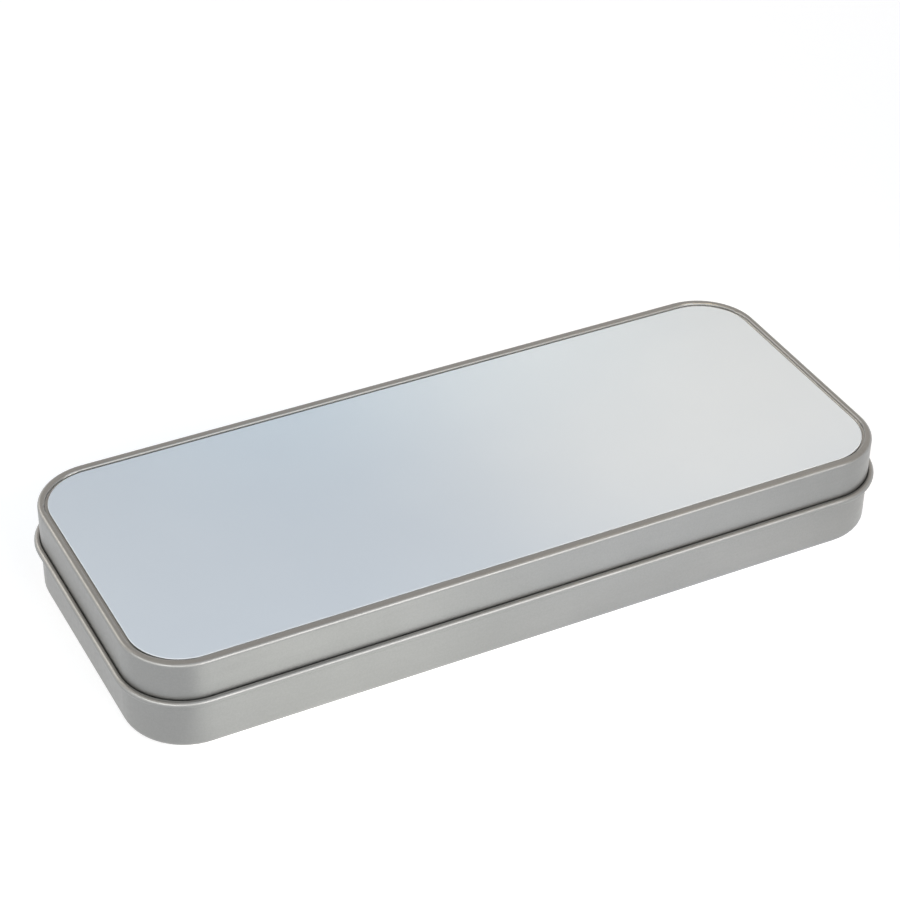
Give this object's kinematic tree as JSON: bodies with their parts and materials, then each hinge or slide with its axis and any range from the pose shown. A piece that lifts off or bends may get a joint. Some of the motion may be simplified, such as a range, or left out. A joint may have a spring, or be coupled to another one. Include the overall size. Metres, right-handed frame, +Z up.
{
  "type": "hinged tin pencil case",
  "caption": "Flat hinged tinplate case with rounded corners, a rolled lid edge, a necked base, rolled knuckle hinges and a plain coated plate set in the lid.",
  "frame": {"origin": "centre of the closed case's bounding box, on the table", "axes": "+X along the length, +Y towards the hinge side, +Z up out of the lid"},
  "size_m": [0.21, 0.088, 0.0258],
  "materials": {
    "tinplate": "satin tinplate with a fine rolling grain",
    "hinge_wire": "drawn steel wire",
    "plate_coating": "smooth white coating, softly glossy",
    "adhesive_film": "clear double-sided film"
  },
  "bodies": {
    "base": {"base_tray": "tinplate"},
    "lid": {"lid_shell": "tinplate", "hinge_pin_left": "hinge_wire", "hinge_pin_right": "hinge_wire", "insert_plate": "plate_coating", "insert_adhesive": "adhesive_film"}
  },
  "joints": [
    {"name": "lid_hinge", "type": "hinge", "parent": "base", "child": "lid", "pos_m": [0, 0.04305, 0.0144], "axis": [-1, 0, 0], "range_deg": [0, 180]}
  ]
}
